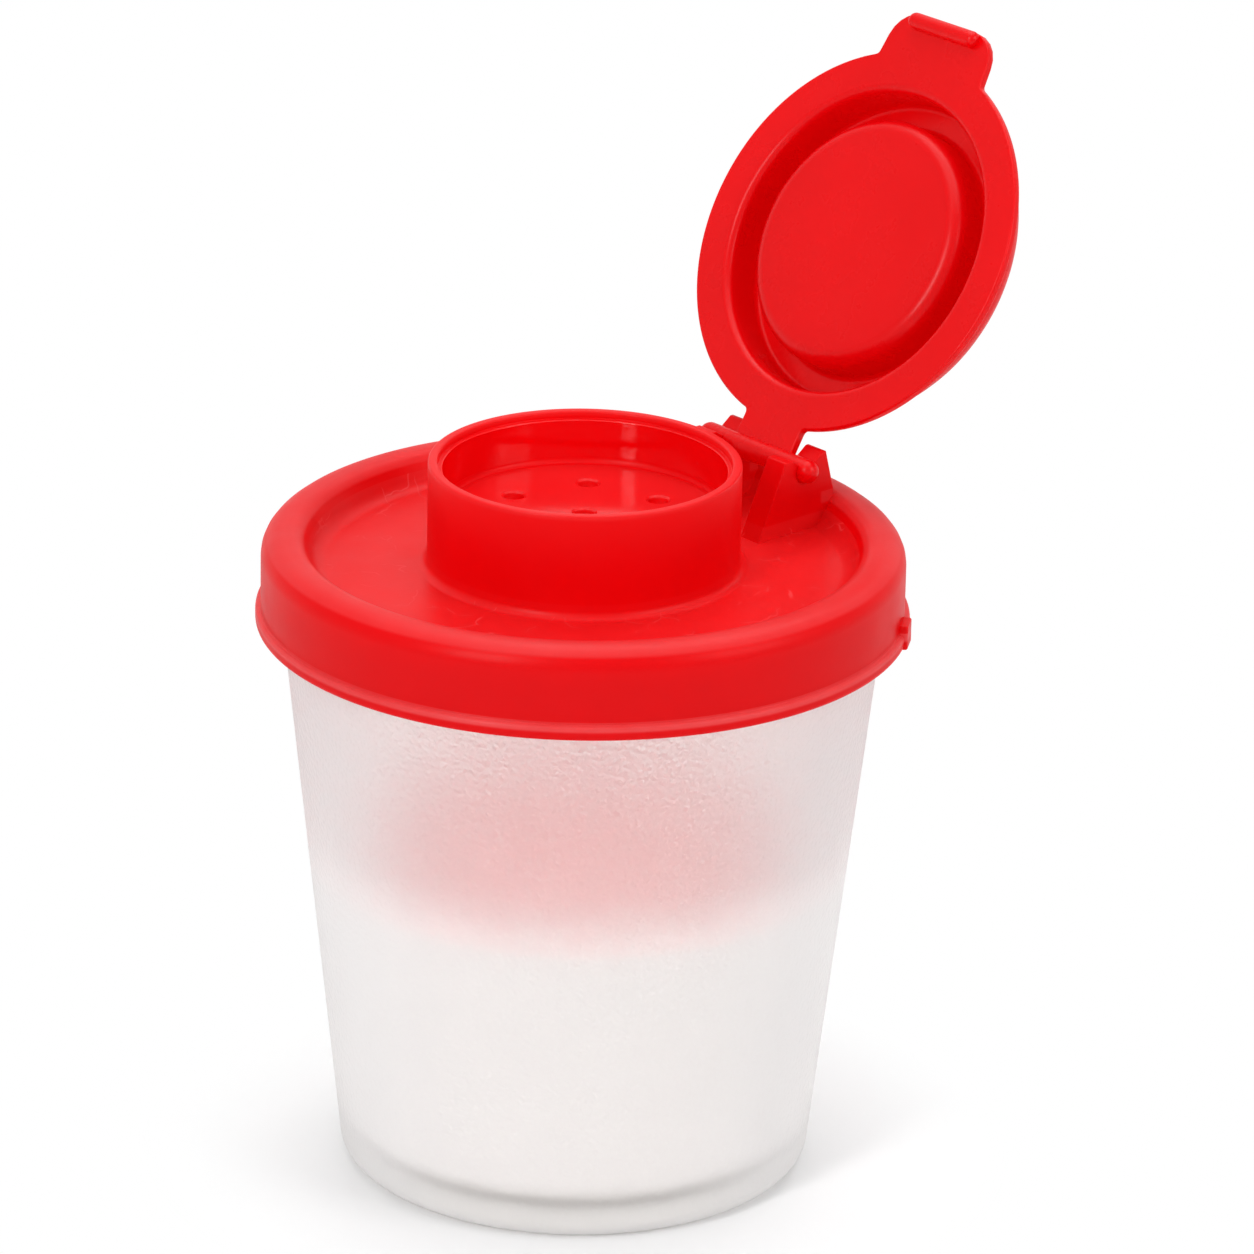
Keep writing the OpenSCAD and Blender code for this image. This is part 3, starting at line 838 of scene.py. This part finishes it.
def makeTower(spec, side):
    lip = spec["seat"] + spec["lipWall"]
    post = spec["seat"] + spec["postBack"]
    drop = lidSpec["panel"] - spec["pinPlace"][1]
    foot = drop - spec["buried"]
    middle = spec["towerInside"] + spec["towerWide"] / 2
    crestBack = math.sqrt(lidSpec["shoulder"] ** 2 - middle ** 2) - spec["pinPlace"][0]
    mouth = Vector((spec["mouthBack"], 0))

    def meet(away):
        # where the mouth's slope leaves the round seat
        slope = (Vector(away) - mouth).normalized()
        along = mouth.dot(slope)
        return mouth + slope * (math.sqrt(along ** 2 - mouth.length_squared + spec["seat"] ** 2) - along)

    front = meet((spec["lipFlat"] - lip, spec["lipRise"]))
    back = meet((post, spec["postRise"]))
    start, end = math.atan2(front.y, front.x), math.atan2(back.y, back.x) + 2 * math.pi
    angles = [start + (end - start) * step / spec["seatSteps"] for step in range(spec["seatSteps"] + 1)]
    seat = [(spec["seat"] * math.cos(angle), spec["seat"] * math.sin(angle), 0) for angle in angles]
    outline = [
        (-lip - (spec["lipRise"] - foot) * math.tan(math.radians(spec["lean"])), foot, 0),
        (-lip, spec["lipRise"], spec["lipRound"]),
        (spec["lipFlat"] - lip, spec["lipRise"], spec["lipBackRound"]),
        *seat,
        (post, spec["postRise"], spec["postRound"]),
        (post + spec["postFlat"], spec["postRise"], spec["postRound"]),
        (crestBack, drop + lidSpec["crest"] - lidSpec["panel"], 0),
        (crestBack, foot, 0),
    ]
    low = spec["towerInside"] if side > 0 else -spec["towerInside"] - spec["towerWide"]
    across, up = spec["pinPlace"]
    turnTo = Matrix(((0, 0, 1, low * mm), (1, 0, 0, across * mm), (0, 1, 0, up * mm), (0, 0, 0, 1)))
    name = "towerRight" if side > 0 else "towerLeft"
    return plate(name, outline, spec["towerWide"], spec["eased"], turnTo, redPlastic)


def makeLid(spec):
    lid = turn("redLid", [
        (0, spec["sifter"] - spec["sifterWall"], 0),
        (spec["bowl"], spec["sifter"] - spec["sifterWall"], spec["fillet"]),
        (spec["bowl"], spec["under"], spec["fillet"]),
        (spec["sealInside"], spec["under"], spec["fillet"]),
        (spec["sealInside"], spec["sealLow"], spec["fineRound"]),
        (spec["sealOutside"], spec["sealLow"], spec["edgeRound"]),
        (spec["sealTop"], spec["channel"], spec["fineRound"]),
        (spec["skirtInside"], spec["channel"], spec["fineRound"]),
        (spec["skirtInside"], spec["beadLow"], spec["fineRound"]),
        (spec["bead"], spec["beadLow"], spec["edgeRound"]),
        (spec["bead"], spec["beadLow"] + spec["beadHeight"], spec["edgeRound"]),
        (spec["outside"], spec["beadLow"] + spec["beadHeight"], spec["fineRound"]),
        (spec["outside"], spec["crest"], spec["crestRound"]),
        (spec["shoulder"], spec["crest"], spec["shoulderRound"]),
        (spec["panelEdge"], spec["panel"], spec["panelRound"]),
        (spec["collar"], spec["panel"], spec["collarFoot"]),
        (spec["collar"], spec["collarTop"], spec["fineRound"]),
        (spec["ledge"], spec["collarTop"], spec["fineRound"]),
        (spec["ledge"], spec["collarTop"] - spec["ledgeDrop"], spec["fineRound"] / 2),
        (spec["bowl"], spec["collarTop"] - spec["ledgeDrop"], spec["fineRound"] / 2),
        (spec["bowl"], spec["sifter"], spec["fillet"]),
        (0, spec["sifter"], 0),
    ], redPlastic, segments=180)
    bearing = math.radians(spec["nubBearing"])
    turnTo = Matrix.Translation((0, 0, spec["beadLow"] * mm)) @ Matrix.Rotation(bearing, 4, "Z")
    root, tip, half = spec["outside"] - spec["nubRoot"], spec["bead"] + spec["nubOut"], spec["nubWidth"] / 2
    nub = plate("liftNub", [
        (root, -half, 0), (tip, -half, spec["nubRound"]), (tip, half, spec["nubRound"]), (root, half, 0),
    ], spec["nubHeight"], spec["nubEased"], turnTo, redPlastic)
    fuse(lid, [makeTower(hingeSpec, 1), makeTower(hingeSpec, -1), nub])
    modifier = lid.modifiers.new("holes", "NODES")
    modifier.node_group = makeHoleTree(spec)
    setInputs(modifier, {
        "Hole Radius": spec["hole"] * mm, "Ring Radius": spec["holeRing"] * mm, "Ring Count": spec["holes"],
        "First Bearing": math.radians(spec["firstHole"]), "Bevel": spec["holeBevel"] * mm,
        "Floor Height": spec["sifter"] * mm, "Floor Wall": spec["sifterWall"] * mm, "Finish": redPlastic,
        "Under Finish": redUnderside, "Under Height": (spec["under"] - spec["underDepth"]) * mm,
        "Under Radius": spec["underWithin"] * mm, "Bowl Finish": redPolished, "Bowl Radius": spec["bowl"] * mm})
    makePlain(lid)
    cleanMesh(lid.data)
    settle(lid, "lid", "lid")


capSpec = {
    "plug": 11.1, "plugRound": 1.4, "plugWall": 1.2, "groove": 13.45, "grooveDepth": 4.0, "grooveLip": 0.75,
    "flange": 17.0, "flangeWall": 0.75, "dome": 14.95, "domeTop": 5.1, "domeRound": 2.5,
    "edgeRound": 0.4, "fineRound": 0.2, "fillet": 0.5,
    "tabRoot": 6.2, "tabTaper": 0.45, "tabLength": 3.15, "tabRound": 2.8, "rootRound": 0.5, "eased": 0.15,
    "armRoot": 2, "tabSpread": 1.25,    # width of the buried root to that of the neck
    "grip": 0.72, "gripHalf": 4.05, "barEnd": 0.96,    # rounding of a bar's end to its radius
}


def makeBar(name, half, radius, place):
    # a round bar along X
    end = capSpec["barEnd"] * radius
    bar = turn(name, [
        (0, -half - radius, 0), (radius, -half - radius, end), (radius, half + radius, end), (0, half + radius, 0),
    ], redCapPlastic, segments=40, arcSteps=8)
    bar.data.transform(Matrix.Translation(Vector(place) * mm) @ Matrix.Rotation(math.radians(90), 4, "Y"))
    return bar


def makeCap(spec):
    # drawn closed, with the flange's inner face level with the pin, then turned back about the pin
    across, up = hingeSpec["pinPlace"]
    well = spec["plug"] - spec["plugWall"]
    cap = turn("redFlipCap", [
        (0, 0, 0),
        (spec["plug"], 0, spec["plugRound"]),
        (spec["plug"], spec["grooveDepth"], spec["fillet"]),
        (spec["groove"], spec["grooveDepth"], spec["fillet"]),
        (spec["groove"], 0, spec["grooveLip"]),
        (spec["flange"], 0, spec["fineRound"]),
        (spec["flange"], spec["flangeWall"], spec["fineRound"]),
        (spec["dome"], spec["flangeWall"], spec["edgeRound"]),
        (spec["dome"], spec["domeTop"], spec["domeRound"]),
        (well, spec["domeTop"], spec["edgeRound"]),
        (well - spec["fineRound"], spec["plugWall"], spec["fillet"]),
        (0, spec["plugWall"], 0),
    ], redCapPlastic, segments=180)

    def onFlange(x, side, rounding):
        return (x, side * math.sqrt(spec["flange"] ** 2 - x ** 2), rounding)

    half, root, easy = hingeSpec["armHalf"], spec["tabRoot"], spec["rootRound"]
    wide = spec["armRoot"] * half
    arm = plate("arm", [
        onFlange(wide, 1, 0), onFlange(half, 1, easy), (half, across, 0),
        (-half, across, 0), onFlange(-half, 1, easy), onFlange(-wide, 1, 0),
    ], spec["flangeWall"], spec["eased"], Matrix.Identity(4), redCapPlastic)
    wide, narrow, tip = spec["tabSpread"] * root, root - spec["tabTaper"], -spec["flange"] - spec["tabLength"]
    tab = plate("thumbTab", [
        onFlange(wide, -1, 0), onFlange(root, -1, easy), (narrow, tip, spec["tabRound"]),
        (-narrow, tip, spec["tabRound"]), onFlange(-root, -1, easy), onFlange(-wide, -1, 0),
    ], spec["flangeWall"], spec["eased"], Matrix.Identity(4), redCapPlastic)
    grip = makeBar("gripBar", spec["gripHalf"] - spec["grip"], spec["grip"], (0, tip + spec["grip"], -spec["grip"] / 3))
    ballAt = hingeSpec["towerInside"] + hingeSpec["towerWide"] + hingeSpec["ballOut"]
    pin = makeBar("hingePin", ballAt, hingeSpec["pin"], (0, across, 0))
    fuse(cap, [arm, tab, grip, pin])
    swing = Matrix.Rotation(math.radians(-hingeSpec["open"]), 4, "X")
    toPin = Matrix.Translation((0, -across * mm, 0))
    cap.data.transform(Matrix.Translation((0, across * mm, up * mm)) @ swing @ toPin)
    settle(cap, "flip_cap", "flip_cap")


makeLid(lidSpec)
makeCap(capSpec)
print("lid and cap made")
